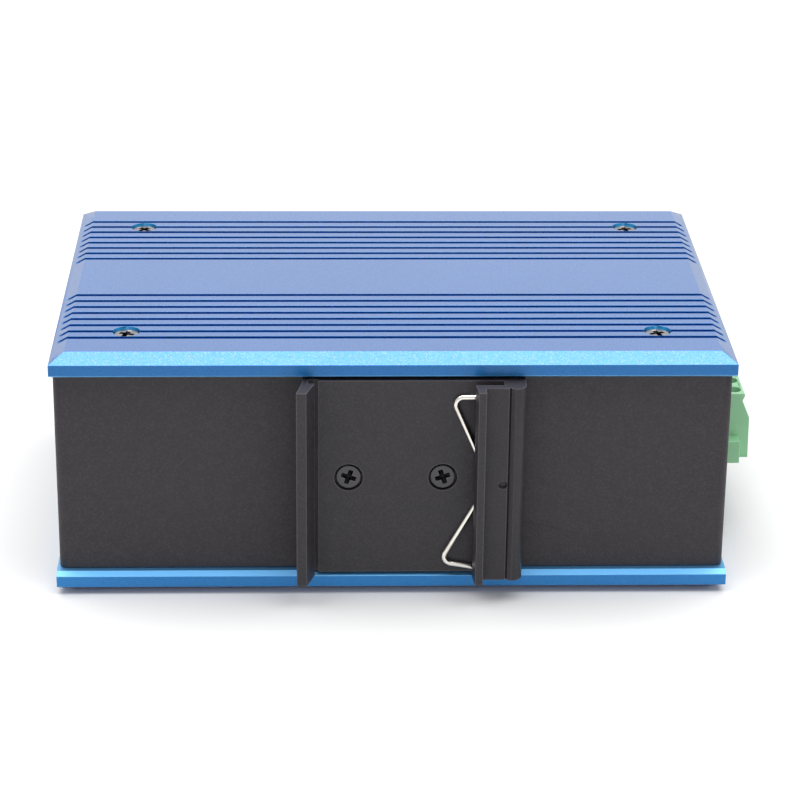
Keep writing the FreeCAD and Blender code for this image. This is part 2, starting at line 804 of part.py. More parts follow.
def rail_clip():
    """Extruded rail clip: base plate, fixed hook on the left, spring jaw on the right."""
    body = doc.addObject("PartDesign::Body", "rail_clip_bar")
    slot_top = "clip_base_thick + rail_slot"
    face = "jaw_roof + jaw_wall"
    vee_middle = "bead_start - vee_width / 2"
    tip_left = "jaw_mouth + jaw_lean"
    tip_right = "jaw_mouth + jaw_lean + jaw_tip_width"
    bead_side = "bead_crest - bead_radius"
    relief_end = "rail_seat + seat_relief_width"
    section = [
        ("clip_right", out("0")),
        ("clip_right", out(bead_side)),
        ("clip_right - bead_radius", out("bead_crest"), "clip_right - bead_radius", out(bead_side)),
        ("bead_start", out(face)),
        (vee_middle, out(f"{face} - vee_depth")),
        ("bead_start - vee_width", out(face)),
        (tip_right, out(face)),
        (tip_right, out("clip_height")),
        (tip_left, out("clip_height")),
        ("jaw_mouth", out("jaw_roof")),
        ("channel_end", out("jaw_roof")),
        ("channel_end", out("clip_base_thick")),
        (relief_end, out("clip_base_thick")),
        (relief_end, out("clip_base_thick - seat_relief_depth")),
        ("rail_seat", out("clip_base_thick - seat_relief_depth")),
        ("rail_seat", out(slot_top)),
        ("hook_lip", out(slot_top)),
        ("hook_tip + hook_tip_width", out("clip_height")),
        ("hook_tip", out("clip_height")),
        ("clip_left", out("hook_knee")),
        ("clip_left", out("0")),
    ]
    # The loop runs the other way round so that its arc turns left.
    profile = outline(body, "rail_clip_section", "XY_Plane", reverse_loop(section), "clip_bottom")
    pad(body, profile, "clip_length")
    tools = []
    for side in ("left", "right"):
        spot = (f"clip_screw_{side}", "clip_seat", "mid_height")
        tools.append(rod(f"clip_well_{side}", spot, "-y", "clip_counterbore_dia",
                         "-clip_counterbore_depth", "0"))
        tools.append(rod(f"clip_bore_{side}", spot, "-y", "thread_dia + 2 * screw_clearance",
                         "-clip_base_thick", "0"))
    stake_spot = ("channel_end", out(face), "mid_height")
    tools.append(taper("stake_dimple", stake_spot, "-y", "stake_tip_dia", "stake_dia", "-stake_depth", "0"))
    return cut("rail_clip", body, tools)


def reverse_loop(corners):
    """The same closed loop walked the other way, with each arc kept on its own stretch."""
    walked = []
    count = len(corners)
    for index in range(count - 1, -1, -1):
        following = corners[(index + 1) % count]
        walked.append(corners[index][:2] + following[2:])
    return walked


def clip_screws():
    """The two screws that hold the clip to the nut plate through the shell."""
    screws = []
    for side, spin in zip(("left", "right"), SPINS):
        spot = (f"clip_screw_{side}", "clip_seat + clip_counterbore_depth", "mid_height")
        screws.append(machine_screw(
            f"clip_screw_{side}_solid", spot, "-y", "clip_head_dia", "clip_head_height", "thread_dia",
            "clip_screw_length", spin,
        ))
    return group("clip_screws", screws)


def clip_nut_plate():
    """Tapped steel bar behind the rear wall."""
    bar = box(
        "nut_plate_bar",
        ("nut_plate_left", "shell_inner_rear", "mid_height - nut_plate_height / 2"),
        ("nut_plate_right", "shell_inner_rear + nut_plate_thick", "mid_height + nut_plate_height / 2"),
    )
    taps = [
        rod(f"nut_plate_tap_{side}", (f"clip_screw_{side}", "shell_inner_rear", "mid_height"), "+y",
            "thread_dia + 2 * thread_gap", "0", "nut_plate_thick")
        for side in ("left", "right")
    ]
    return cut("clip_nut_plate", bar, taps)


def rail_spring():
    """Bent wire in the jaw's channel: each end comes out under the jaw, turns and runs to the middle."""
    upper_leg = "clip_bottom + clip_length - spring_upper_inset"
    lower_leg = "clip_bottom + spring_lower_inset"
    route = [
        ("spring_leg_end", upper_leg),
        ("spring_reach_upper", upper_leg),
        ("spring_knee", "mid_height + spring_knee_span / 2"),
        ("spring_back", "mid_height + spring_stake_span / 2"),
        ("spring_back", "mid_height - spring_stake_span / 2"),
        ("spring_knee", "mid_height - spring_knee_span / 2"),
        ("spring_reach_lower", lower_leg),
        ("spring_leg_end", f"{lower_leg} - spring_leg_drop"),
    ]
    points = [FreeCAD.Vector(number(x), number("wire_level"), number(z)) for x, z in route]
    path = bent_path(points, number("spring_bend"))
    start = points[0]
    ring = Part.Wire(Part.makeCircle(number("wire_dia") / 2, start, points[1] - start))
    spring = doc.addObject("Part::Feature", "rail_spring")
    spring.Shape = path.makePipeShell([ring], True, True, 1)
    return spring


def bent_path(points, radius):
    """Straight runs through the points, joined by arcs of one radius, tighter only where a run is short."""
    edges = []
    here = points[0]
    for before, corner, after in zip(points, points[1:], points[2:]):
        arriving = (corner - before).normalize()
        leaving = (after - corner).normalize()
        half_turn = arriving.getAngle(leaving) / 2
        shortest = min((corner - before).Length, (after - corner).Length)
        setback = min(radius * math.tan(half_turn), number("spring_run_share") * shortest)
        arc_start = corner - arriving * setback
        arc_end = corner + leaving * setback
        bisector = (leaving - arriving).normalize()
        bend = setback / math.tan(half_turn)
        centre = corner + bisector * (bend / math.cos(half_turn))
        crown = centre - bisector * bend
        edges.append(Part.LineSegment(here, arc_start).toShape())
        edges.append(Part.Arc(arc_start, crown, arc_end).toShape())
        here = arc_end
    edges.append(Part.LineSegment(here, points[-1]).toShape())
    return Part.Wire(edges)


# ---------------------------------------------------------------- board and what stands on it


def main_board():
    """The circuit board, drilled for the standoffs' studs and the power terminal's pins."""
    blank = box("board_blank", ("-board_half", "board_rear", "board_bottom"),
                ("board_half", "board_front", "board_top"))
    drills = []
    for corner, x, y in CORNERS:
        drills.append(rod(f"board_hole_{corner}", (x, y, "board_bottom"), "+z",
                          "thread_dia + 2 * screw_clearance", "0", "board_thick"))
    for index in range(int(SIZES["pole_count"])):
        spot = ("header_rear - pin_side", pole_y(index), "board_bottom")
        drills.append(rod(f"board_pin_hole_{index + 1}", spot, "+z", "pin_hole_dia", "0", "board_thick"))
    return cut("main_board", blank, drills)


def pole_y(index):
    return f"-poles_half + ({index} + 0.5) * pole_pitch"


def port_stack(index):
    """One stacked double jack: stamped shield, moulded body and its contact wires."""
    number_word = index + 1
    left = port_left(index)
    right = f"{left} + port_width"
    rear = "port_face - port_depth"
    top = "board_top + port_height"
    shell_block = box(f"shield_{number_word}_block", (left, rear, "board_top"), (right, "port_face", top))
    inner_low = (f"{left} + shield_thick", f"{rear} + shield_thick", "board_top")
    inner_high = (f"{right} - shield_thick", "port_face", f"{top} - shield_thick")
    shield_room = box(f"shield_{number_word}_room", inner_low, inner_high)
    shield = cut(f"port_shield_{number_word}", shell_block, [shield_room])
    block = box(f"jack_{number_word}_block", inner_low, inner_high)
    middle = f"{left} + port_width / 2"
    hollows = []
    wires = []
    for place, sign in (("lower", -1), ("upper", 1)):
        if sign < 0:
            low_z = "board_top + jack_margin + latch_height"
            notch_low = "board_top + jack_margin"
            notch_high = low_z
            seat = f"{low_z} + jack_height"
        else:
            low_z = "board_top + port_height - jack_margin - latch_height - jack_height"
            notch_low = f"{low_z} + jack_height"
            notch_high = f"{notch_low} + latch_height"
            seat = low_z
        hollows.append(box(
            f"jack_{number_word}_{place}_hollow",
            (f"{middle} - jack_width / 2", "port_face - jack_depth", low_z),
            (f"{middle} + jack_width / 2", "port_face", f"{low_z} + jack_height"),
        ))
        hollows.append(box(
            f"jack_{number_word}_{place}_latch",
            (f"{middle} - latch_width / 2", "port_face - jack_depth / 2", notch_low),
            (f"{middle} + latch_width / 2", "port_face", notch_high),
        ))
        for wire in range(int(SIZES["contact_count"])):
            centre = f"{middle} + ({wire} - (contact_count - 1) / 2) * contact_pitch"
            away = f"{seat} - contact_drop - contact_thick" if sign < 0 else f"{seat} + contact_drop"
            wires.append(box(
                f"contact_{number_word}_{place}_{wire}",
                (f"{centre} - contact_width / 2", "port_face - jack_depth", away),
                (f"{centre} + contact_width / 2", "port_face - jack_depth + contact_length",
                 f"{away} + contact_thick"),
            ))
    body = cut(f"port_body_{number_word}", block, hollows)
    contacts = group(f"port_contacts_{number_word}", wires)
    return [shield, body, contacts]


def optical_cage(index):
    """One optical module cage of folded sheet, open at the front, with its socket at the rear."""
    number_word = index + 1
    left = cage_left(index)
    right = f"{left} + cage_width"
    rear = "port_face - cage_depth"
    block = box(f"cage_{number_word}_block", (left, rear, "board_top"),
                (right, "port_face", "board_top + cage_height"))
    room = box(
        f"cage_{number_word}_room",
        (f"{left} + shield_thick", f"{rear} + shield_thick", "board_top + shield_thick"),
        (f"{right} - shield_thick", "port_face", "board_top + cage_height - shield_thick"),
    )
    middle = f"{left} + cage_width / 2"
    socket_front = f"{rear} + shield_thick + socket_depth"
    slot = box(
        f"cage_{number_word}_slot",
        (f"{middle} - socket_width / 2", rear, "board_top"),
        (f"{middle} + socket_width / 2", socket_front, "board_top + shield_thick"),
    )
    cage = cut(f"optical_cage_{number_word}", block, [room, slot])
    socket_block = box(
        f"socket_{number_word}_block",
        (f"{middle} - socket_width / 2", f"{rear} + shield_thick", "board_top"),
        (f"{middle} + socket_width / 2", socket_front, "board_top + socket_height"),
    )
    mouth = box(
        f"socket_{number_word}_mouth",
        (f"{middle} - mouth_width / 2", f"{socket_front} - mouth_depth", "board_top + mouth_level"),
        (f"{middle} + mouth_width / 2", socket_front, "board_top + mouth_level + mouth_height"),
    )
    return [cage, cut(f"optical_socket_{number_word}", socket_block, [mouth])]


def status_lights():
    """A block that carries three lamps up to the front panel, and the lamps."""
    top = f"{light_level('(light_count - 1)')} + light_pitch / 2"
    rear = "panel_back - screw_clearance - light_block_depth"
    holder = box("light_block",
                 ("light_x - light_block_width / 2", rear, "board_top"),
                 ("light_x + light_block_width / 2", "panel_back - screw_clearance", top))
    lamps = []
    for index in range(int(SIZES["light_count"])):
        spot = ("light_x", "panel_back - screw_clearance", light_level(index))
        reach = "screw_clearance + panel_thick + light_proud"
        stem = rod(f"lamp_{index + 1}_stem", spot, "+y", "light_dia", "0", f"{reach} - light_dia / 2")
        dome = doc.addObject("Part::Sphere", f"lamp_{index + 1}_dome")
        dome.Angle1 = 0
        bind(dome, Radius="light_dia / 2")
        stand(dome, spot, "+y", (0, 0, f"{reach} - light_dia / 2"))
        lamps.append(joined(f"lamp_{index + 1}", [stem, dome]))
    holder.Label = "light_holder"
    return [holder, group("status_lights", lamps)]


def block_on(name, x, y, length, width, low, high):
    """A plain rectangular component centred on a spot of the board."""
    return box(
        name,
        (f"{x} - ({length}) / 2", f"{y} - ({width}) / 2", low),
        (f"{x} + ({length}) / 2", f"{y} + ({width}) / 2", high),
    )


def cooling_path():
    """The switching chip under the board, its soft thermal pad and the block that cools it."""
    spot = ("chip_x", "chip_y")
    chip = block_on("switch_chip", *spot, "chip_side", "chip_side", "chip_bottom", "board_bottom")
    soft_pad = block_on("thermal_pad", *spot, "chip_side", "chip_side", "sink_top", "chip_bottom")
    sink = block_on("heat_block", *spot, "sink_side", "sink_side", "plate_thick", "sink_top")
    return [chip, soft_pad, sink]


def line_chips():
    """The line driver chips behind the network jacks."""
    chips = [
        block_on(f"line_chip_{index + 1}", f"phy_x + {index} * phy_pitch", "phy_y", "phy_side", "phy_side",
                 "board_top", "board_top + phy_thick")
        for index in range(int(SIZES["phy_count"]))
    ]
    return group("line_chips", chips)


def supply_capacitors():
    """Aluminium cans, each with the rolled neck near its foot."""
    cans = []
    for index in range(int(SIZES["can_count"])):
        spot = ("can_x", f"can_y + {index} * can_pitch", "board_top")
        name = f"can_{index + 1}"
        barrel = rod(name + "_barrel", spot, "+z", "can_dia", "0", "can_height")
        neck = doc.addObject("Part::Torus", name + "_neck")
        bind(neck, Radius1="can_dia / 2 + can_neck_bulge", Radius2="can_neck_radius")
        stand(neck, spot, "+z", (0, 0, "can_neck_level"))
        cans.append(cut(name, barrel, [neck]))
    return group("supply_capacitors", cans)


def supply_coil():
    """Shielded power inductor with a round winding window in its top."""
    spot = ("coil_x", "coil_y", "board_top")
    block = block_on("coil_block", "coil_x", "coil_y", "coil_side", "coil_side", "board_top",
                     "board_top + coil_height")
    floor = "coil_height - coil_groove_depth"
    ring = rod("coil_ring", spot, "+z", "coil_ring_dia", floor, "coil_height")
    core = rod("coil_core", spot, "+z", "coil_core_dia", floor, "coil_height")
    return cut("supply_coil", block, [cut("coil_groove", ring, [core])])


def supply_transformer():
    """Potted transformer: its core stands above and beyond the taped winding."""
    spot = ("former_x", "former_y")
    core = block_on("former_core", *spot, "former_length", "core_width", "board_top",
                    "board_top + former_height")
    winding = block_on("former_winding", *spot, "winding_length", "former_width", "board_top",
                       "board_top + winding_height")
    return joined("supply_transformer", [core, winding])


def crystal():
    """Metal can crystal with rounded ends."""
    half_run = "(crystal_length - crystal_width) / 2"
    ends = [
        rod(f"crystal_end_{index}", (f"crystal_x {sign} {half_run}", "crystal_y", "board_top"), "+z",
            "crystal_width", "0", "crystal_height")
        for index, sign in enumerate("-+")
    ]
    middle = block_on("crystal_middle", "crystal_x", "crystal_y", "crystal_length - crystal_width",
                      "crystal_width", "board_top", "board_top + crystal_height")
    return joined("crystal", [middle] + ends)


# ---------------------------------------------------------------- power terminal


def terminal_header():
    """The fixed half: a box open towards +X that stands through the shell's end."""
    block = box("header_block", ("header_rear", "-header_half", "board_top"),
                ("header_front", "header_half", "header_top"))
    tools = [box(
        "header_cavity",
        ("cavity_rear", "-poles_half", "board_top + header_wall"),
        ("header_front", "poles_half", "header_top - header_wall"),
    )]
    for index in range(int(SIZES["pole_count"])):
        tools.append(slab(f"header_pin_way_{index + 1}", ("header_rear", pole_y(index), "pin_z"), "+x",
                          "pin_side", "pin_side", "0", "header_back"))
    return cut("terminal_header", block, tools)


def header_pins():
    """Square pins bent down into the board behind the header."""
    pins = []
    for index in range(int(SIZES["pole_count"])):
        y = pole_y(index)
        low_y = f"{y} - pin_side / 2"
        high_y = f"{y} + pin_side / 2"
        level = box(
            f"pin_{index + 1}_level",
            ("header_rear - pin_side * 1.5", low_y, "pin_z - pin_side / 2"),
            ("cavity_rear + pin_reach", high_y, "pin_z + pin_side / 2"),
        )
        tail = box(
            f"pin_{index + 1}_tail",
            ("header_rear - pin_side * 1.5", low_y, "board_bottom - pin_tail"),
            ("header_rear - pin_side / 2", high_y, "pin_z + pin_side / 2"),
        )
        pins.append(joined(f"pin_{index + 1}", [level, tail]))
    return group("header_pins", pins)


def terminal_plug():
    """The pull-off half: clamp block outside the case, nose inside the header, a grip lug at each end."""
    body = doc.addObject("PartDesign::Body", "plug_block")
    reach = "header_front + "
    profile = [
        ("header_front", "plug_bottom"),
        (reach + "plug_rib_reach", "plug_bottom"),
        (reach + "plug_rib_reach - plug_rib_lean", "plug_bottom + plug_rib_level"),
        (reach + "plug_neck_reach", "plug_bottom + plug_neck_level"),
        (reach + "plug_top_reach", "plug_top - plug_brow"),
        (reach + "plug_top_reach", "plug_top"),
        ("header_front", "plug_top"),
    ]
    pad(body, outline(body, "plug_profile", "XZ_Plane", profile), "2 * poles_half", both_sides=True)
    nose = rectangle(
        ("nose_rear", "board_top + header_wall + plug_gap"),
        ("header_front + header_wall", "header_top - header_wall - plug_gap"),
    )
    pad(body, outline(body, "plug_nose", "XZ_Plane", nose), "2 * (poles_half - plug_gap)", both_sides=True)
    lug = [
        ("header_front", "plug_bottom"),
        (reach + "lug_reach", "plug_bottom"),
        (reach + "lug_reach", "plug_bottom + lug_height"),
        ("header_front", "plug_bottom + lug_height"),
    ]
    pad(body, outline(body, "plug_lugs", "XZ_Plane", lug), "2 * (poles_half + lug_length)", both_sides=True)
    tools = []
    for index in range(int(SIZES["pole_count"])):
        y = pole_y(index)
        word = index + 1
        room = "clamp_width / 2 + clamp_gap"
        tools.append(box(
            f"chamber_{word}",
            ("clamp_left - clamp_gap", f"{y} - ({room})", "chamber_z"),
            ("clamp_left + clamp_depth + clamp_gap", f"{y} + ({room})", "chamber_top"),
        ))
        spot = ("clamp_x", y, "ledge_top")
        tools.append(rod(f"screw_way_{word}", spot, "+z", "terminal_head_dia + 2 * terminal_bore_gap", "0",
                         "plug_top - ledge_top"))
        tools.append(rod(f"neck_way_{word}", spot, "+z", "terminal_shank_dia + 2 * terminal_bore_gap",
                         "-ledge_thick", "0"))
        entry_low = "chamber_z + clamp_base"
        tools.append(box(
            f"wire_way_{word}",
            ("clamp_x", f"{y} - entry_width / 2", entry_low),
            ("header_front + plug_rib_reach", f"{y} + entry_width / 2", f"{entry_low} + entry_height"),
        ))
        tools.append(box(
            f"contact_way_{word}",
            ("nose_rear", f"{y} - strip_width / 2", "pin_z - pin_side / 2 - grip_gap"),
            ("clamp_x", f"{y} + strip_width / 2", "strip_top"),
        ))
    return cut("terminal_plug", body, tools)


def plug_contacts():
    """For each pole a strip from the clamp to the nose, with two leaves that grip the header's pin."""
    contacts = []
    for index in range(int(SIZES["pole_count"])):
        y = pole_y(index)
        word = index + 1
        strip = box(
            f"contact_strip_{word}",
            ("nose_rear + header_wall", f"{y} - strip_width / 2", "strip_bottom"),
            ("clamp_left + clamp_depth", f"{y} + strip_width / 2", "strip_top"),
        )
        leaves = []
        for side, sign in (("near", "-"), ("far", "+")):
            inner = f"{y} {sign} (pin_side / 2 + grip_gap)"
            outer = f"{y} {sign} (pin_side / 2 + grip_gap + grip_thick)"
            low_y, high_y = (outer, inner) if sign == "-" else (inner, outer)
            leaves.append(box(
                f"contact_leaf_{word}_{side}",
                ("nose_rear + header_wall", low_y, "pin_z - pin_side / 2"),
                ("header_front", high_y, "strip_bottom"),
            ))
        contacts.append(joined(f"contact_{word}", [strip] + leaves))
    return group("plug_contacts", contacts)


def terminal_clamp(index):
    """One rising clamp cage and the slotted screw that lifts it."""
    y = pole_y(index)
    word = index + 1
    half = "clamp_width / 2"
    block = box(
        f"clamp_{word}_block",
        ("clamp_left", f"{y} - {half}", "chamber_z"),
        ("clamp_left + clamp_depth", f"{y} + {half}", "chamber_z + clamp_height"),
    )
    window = box(
        f"clamp_{word}_window",
        ("clamp_left", f"{y} - ({half} - clamp_side)", "chamber_z + clamp_base"),
        ("clamp_left + clamp_depth", f"{y} + ({half} - clamp_side)", "window_top"),
    )
    seat = ("clamp_x", y, "ledge_top")
    thread = rod(f"clamp_{word}_thread", seat, "+z", "terminal_shank_dia + 2 * terminal_thread_gap",
                 "window_top - ledge_top", "chamber_z + clamp_height - ledge_top")
    cage = cut(f"terminal_clamp_{word}", block, [window, thread])
    head = rod(f"terminal_screw_{word}_head", seat, "+z", "terminal_head_dia", "0", "terminal_head_height")
    shank = rod(f"terminal_screw_{word}_shank", seat, "+z", "terminal_shank_dia",
                "strip_top + clamp_gap - ledge_top", "0")
    slot = slab(f"terminal_screw_{word}_slot", seat, "+z", "slot_width", "terminal_head_dia",
                "terminal_head_height - slot_depth", "terminal_head_height")
    screw = cut(f"terminal_screw_{word}", joined(f"terminal_screw_{word}_blank", [head, shank]), [slot])
    return [cage, screw]


def earth_parts():
    """Earth screw, its washer and the nut inside the end wall."""
    seat = ("shell_end + washer_thick", "earth_y", "earth_z")
    blank = joined("earth_screw_blank", [
        rod("earth_head", seat, "+x", "earth_head_dia", "0", "earth_head_height"),
        rod("earth_thread", seat, "+x", "earth_dia", "-earth_length", "0"),
    ])
    recess = cross_recess("earth_screw", seat, "+x", "earth_head_height", SPINS[0], "earth_cross_share")
    screw = cut("earth_screw", blank, [recess])
    disc = rod("washer_disc", ("shell_end", "earth_y", "earth_z"), "+x", "washer_dia", "0", "washer_thick")
    hole = rod("washer_hole", ("shell_end", "earth_y", "earth_z"), "+x", "earth_dia + 2 * screw_clearance",
               "0", "washer_thick")
    washer = cut("earth_washer", disc, [hole])
    nut_block = doc.addObject("Part::Prism", "earth_nut_block")
    nut_block.Polygon = 6
    bind(nut_block, Circumradius="earth_nut_across / sqrt(3)", Height="earth_nut_height")
    stand(nut_block, ("shell_inner_end", "earth_y", "earth_z"), "-x")
    nut_hole = rod("earth_nut_hole", ("shell_inner_end", "earth_y", "earth_z"), "-x",
                   "earth_dia + 2 * thread_gap", "0", "earth_nut_height")
    nut = cut("earth_nut", nut_block, [nut_hole])
    return [screw, washer, nut]


# ---------------------------------------------------------------- the whole part

nodes = [
    side_plate("side_plate_upper", "+z", "upper_inner"),
    side_plate("side_plate_lower", "-z", "plate_thick"),
    corner_screws("upper_plate_screws", "+z", "body_height - counterbore_depth"),
    corner_screws("lower_plate_screws", "-z", "counterbore_depth"),
    lower_spacers(),
    upper_standoffs(),
    rear_shell(),
    front_panel(),
    front_panel_screws(),
    rail_clip(),
    clip_screws(),
    clip_nut_plate(),
    rail_spring(),
    main_board(),
    line_chips(),
    supply_capacitors(),
    supply_coil(),
    supply_transformer(),
    crystal(),
    terminal_header(),
    header_pins(),
    terminal_plug(),
    plug_contacts(),
]
nodes += cooling_path()
nodes += status_lights()
nodes += earth_parts()
for stack in range(int(SIZES["port_count"])):
    nodes += port_stack(stack)
for cage in range(int(SIZES["cage_count"])):
    nodes += optical_cage(cage)
for pole in range(int(SIZES["pole_count"])):
    nodes += terminal_clamp(pole)

doc.recompute()

for feature in doc.Objects:
    if "Invalid" in feature.State or "Error" in feature.State:
        raise RuntimeError(f"{feature.Label} failed: {feature.State}")

os.makedirs("parts", exist_ok=True)
for node in nodes:
    shape = node.Shape
    if shape.isNull() or not shape.isValid() or not shape.Solids:
        raise RuntimeError(f"{node.Label} has no valid solid")
    shape.exportStep(f"parts/{node.Label}.step")
    print(f"{node.Label}: {len(shape.Solids)} solids, {shape.Volume:.1f} mm3")
print(len(nodes), "nodes")
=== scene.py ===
import bmesh
import bpy
import json
import math
from functools import partial
from mathutils import Matrix, Vector


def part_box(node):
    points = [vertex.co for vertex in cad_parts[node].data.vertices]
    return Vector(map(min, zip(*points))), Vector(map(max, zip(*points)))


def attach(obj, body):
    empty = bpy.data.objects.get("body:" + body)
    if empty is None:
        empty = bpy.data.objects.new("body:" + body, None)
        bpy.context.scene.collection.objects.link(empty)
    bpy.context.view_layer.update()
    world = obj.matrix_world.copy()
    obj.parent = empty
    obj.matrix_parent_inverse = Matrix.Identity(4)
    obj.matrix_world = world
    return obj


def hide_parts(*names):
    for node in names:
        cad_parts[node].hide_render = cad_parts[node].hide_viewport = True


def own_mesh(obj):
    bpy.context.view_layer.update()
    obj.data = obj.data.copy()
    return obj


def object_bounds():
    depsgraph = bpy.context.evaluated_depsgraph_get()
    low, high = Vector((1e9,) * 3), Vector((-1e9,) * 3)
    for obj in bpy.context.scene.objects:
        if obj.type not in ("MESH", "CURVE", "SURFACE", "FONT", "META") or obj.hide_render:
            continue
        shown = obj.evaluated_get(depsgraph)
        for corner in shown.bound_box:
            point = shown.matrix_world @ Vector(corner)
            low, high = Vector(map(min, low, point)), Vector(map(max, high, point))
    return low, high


# DIN rail ethernet switch: looks. Metres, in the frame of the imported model.

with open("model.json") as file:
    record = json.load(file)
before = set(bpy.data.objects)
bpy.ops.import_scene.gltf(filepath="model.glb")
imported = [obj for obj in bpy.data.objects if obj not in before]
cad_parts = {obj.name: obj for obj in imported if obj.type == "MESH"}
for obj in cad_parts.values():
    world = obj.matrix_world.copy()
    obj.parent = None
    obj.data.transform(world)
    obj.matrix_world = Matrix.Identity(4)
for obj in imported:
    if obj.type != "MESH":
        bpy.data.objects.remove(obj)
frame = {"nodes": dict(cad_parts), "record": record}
cad_low, cad_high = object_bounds()
nodes = frame["nodes"]
MM = 0.001


# ---------------------------------------------------------------- material building blocks


class Finish:
    """A node material under construction, on the principled shader."""

    def __init__(self, name):
        self.material = bpy.data.materials.new(name)
        self.material.use_nodes = True
        self.tree = self.material.node_tree
        self.shader = self.tree.nodes["Principled BSDF"]
        self.place = self.add("ShaderNodeTexCoord").outputs["Object"]

    def add(self, kind, **settings):
        """A new node of a kind."""
        node = self.tree.nodes.new(kind)
        for key, value in settings.items():
            setattr(node, key, value)
        return node

    def link(self, start, end):
        self.tree.links.new(start, end)

    def set(self, **values):
        """The shader's own values, with the same one all over the surface."""
        for key, value in values.items():
            self.shader.inputs[key.replace("_", " ")].default_value = value
        return self

    def stretched(self, scale):
        """The place, stretched differently along each axis."""
        node = self.add("ShaderNodeMapping")
        self.link(self.place, node.inputs["Vector"])
        node.inputs["Scale"].default_value = scale
        return node.outputs["Vector"]

    def noise(self, size, detail=2.0, rough=0.5, place=None):
        """Noise whose features are about as wide as size, in metres."""
        node = self.add("ShaderNodeTexNoise")
        self.link(place or self.place, node.inputs["Vector"])
        node.inputs["Scale"].default_value = 1.0 / size
        node.inputs["Detail"].default_value = detail
        node.inputs["Roughness"].default_value = rough
        return node.outputs["Fac"]

    def spread(self, source, low, high, out_low=0.0, out_high=1.0):
        """A value stretched from one span to another, held at the ends."""
        node = self.add("ShaderNodeMapRange")
        self.link(source, node.inputs["Value"])
        node.inputs["From Min"].default_value = low
        node.inputs["From Max"].default_value = high
        node.inputs["To Min"].default_value = out_low
        node.inputs["To Max"].default_value = out_high
        return node.outputs["Result"]

    def mix(self, amount, first, second):
        """A colour between two, each a colour or an output."""
        node = self.add("ShaderNodeMix", data_type="RGBA")
        self.link(amount, node.inputs["Factor"])
        for name, colour in (("A", first), ("B", second)):
            socket = [s for s in node.inputs if s.name == name and s.type == "RGBA"][0]
            if isinstance(colour, bpy.types.NodeSocket):
                self.link(colour, socket)
            else:
                socket.default_value = (*colour, 1.0)
        return [s for s in node.outputs if s.type == "RGBA"][0]

    def maths(self, operation, first, second):
        """A value from an output and a number or another output."""
        node = self.add("ShaderNodeMath", operation=operation)
        self.link(first, node.inputs[0])
        if isinstance(second, bpy.types.NodeSocket):
            self.link(second, node.inputs[1])
        else:
            node.inputs[1].default_value = second
        return node.outputs["Value"]

    def away(self, vector, axis, level=0.0):
        """How far a vector's part along an axis is from a level, up or down."""
        parts = self.add("ShaderNodeSeparateXYZ")
        self.link(vector, parts.inputs["Vector"])
        return self.maths("ABSOLUTE", self.maths("SUBTRACT", parts.outputs[axis], level), 0.0)

    def edges(self, radius):
        """How much a place is on a sharp edge: one there, and none on a flat face."""
        rounded = self.add("ShaderNodeBevel", samples=4)
        rounded.inputs["Radius"].default_value = radius
        match = self.add("ShaderNodeVectorMath", operation="DOT_PRODUCT")
        self.link(rounded.outputs["Normal"], match.inputs[0])
        self.link(self.add("ShaderNodeNewGeometry").outputs["Normal"], match.inputs[1])
        return self.spread(match.outputs["Value"], 0.80, 0.99, 1.0, 0.0)

    def colour(self, source):
        self.link(source, self.shader.inputs["Base Color"])
        return self

    def roughness(self, source):
        self.link(source, self.shader.inputs["Roughness"])
        return self

    def bump(self, source, height, strength=1.0, over=None):
        """Relief of this height in metres; over takes another bump's output below it."""
        node = self.add("ShaderNodeBump")
        self.link(source, node.inputs["Height"])
        node.inputs["Strength"].default_value = strength
        node.inputs["Distance"].default_value = height
        if over is not None:
            self.link(over, node.inputs["Normal"])
        self.link(node.outputs["Normal"], self.shader.inputs["Normal"])
        return node.outputs["Normal"]


BEVEL_TOP = 0.72 * MM       # just over the height of the plates' cut bevel, from their inner face
BEVEL_BLUR = 0.1 * MM
RIM_FROM, RIM_TO = 0.972, 0.98     # where a plate's upright lip starts, as a share of its half size
MATT = 0.55                 # roughness of the cut bevel and the lips


def plate_masks(f):
    """Where a side plate has its upright faces, its outer lips and its cut bevel, and which plate it is."""
    low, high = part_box("side_plate_upper")
    across, along = (
        f.maths("DIVIDE", f.away(f.place, axis, (low[i] + high[i]) / 2), (high[i] - low[i]) / 2)
        for i, axis in enumerate("XY"))
    rim = f.spread(f.maths("MAXIMUM", across, along), RIM_FROM, RIM_TO)
    upright = f.spread(f.away(f.add("ShaderNodeNewGeometry").outputs["Normal"], "Z"), 0.25, 0.6, 1.0, 0.0)
    middle = (cad_low[2] + cad_high[2]) / 2
    bevel = low[2] - middle + BEVEL_TOP
    # The cut bevel, which the blue finish paints paler: painted light.
    cut = f.spread(f.away(f.place, "Z", middle), bevel, bevel + BEVEL_BLUR, 1.0, 0.0)
    # Which plate a place is on: the upper plate's lips take painted shade, the lower plate's painted light.
    upper = f.spread(f.away(f.place, "Z", cad_high[2]), 0.4 * cad_high[2], 0.6 * cad_high[2], 1.0, 0.0)
    return upright, f.maths("MULTIPLY", rim, upright), cut, upper


